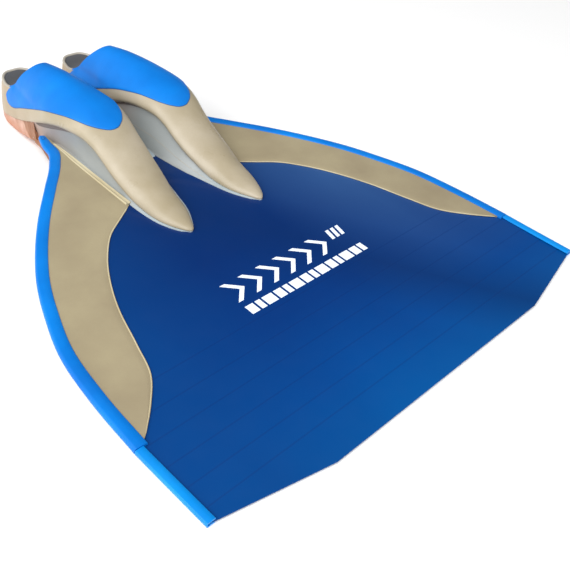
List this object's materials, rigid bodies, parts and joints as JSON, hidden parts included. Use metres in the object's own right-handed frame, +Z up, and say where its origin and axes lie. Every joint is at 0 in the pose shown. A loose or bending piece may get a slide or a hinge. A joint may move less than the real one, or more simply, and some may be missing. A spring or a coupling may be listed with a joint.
{
  "type": "monofin",
  "caption": "Monofin for finswimming: one wide flexible blade with rubber wings and edge rails, and two side-by-side raised foot pockets with open heels.",
  "frame": {"origin": "on the floor under the middle of the bounding box, between the two foot pockets", "axes": "+X across the fin towards its right side seen from behind, +Y from the trailing edge to the heels, +Z up"},
  "size_m": [0.7018, 0.8822, 0.133],
  "materials": {
    "laminate": "glossy",
    "rail_rubber": "satin",
    "tip_rail_rubber": "satin",
    "wing_rubber": "matte",
    "cover_rubber": "satin",
    "skirt_rubber": "satin",
    "natural_latex": "satin",
    "sock_latex": "matte",
    "foam": "matte",
    "plate_laminate": "satin"
  },
  "bodies": {
    "root": {"blade": "laminate", "centre_web": "skirt_rubber", "edge_rail_left": "rail_rubber", "edge_rail_right": "rail_rubber", "tip_rail_left": "tip_rail_rubber", "tip_rail_right": "tip_rail_rubber", "wing_top_left": "wing_rubber", "wing_top_right": "wing_rubber", "wing_under_left": "wing_rubber", "wing_under_right": "wing_rubber", "seam_strip_left": "cover_rubber", "seam_strip_right": "cover_rubber", "upper_cover_left": "cover_rubber", "upper_cover_right": "cover_rubber", "instep_panel_left": "rail_rubber", "instep_panel_right": "rail_rubber", "foot_sock_left": "sock_latex", "foot_sock_right": "sock_latex", "insole_left": "sock_latex", "insole_right": "sock_latex", "foot_plate_left": "plate_laminate", "foot_plate_right": "plate_laminate", "front_sole_left": "natural_latex", "front_sole_right": "natural_latex", "heel_cup_left": "natural_latex", "heel_cup_right": "natural_latex", "wedge_core_left": "foam", "wedge_core_right": "foam", "nose_core_left": "foam", "nose_core_right": "foam", "skirt_left": "skirt_rubber", "skirt_right": "skirt_rubber"}
  },
  "joints": []
}
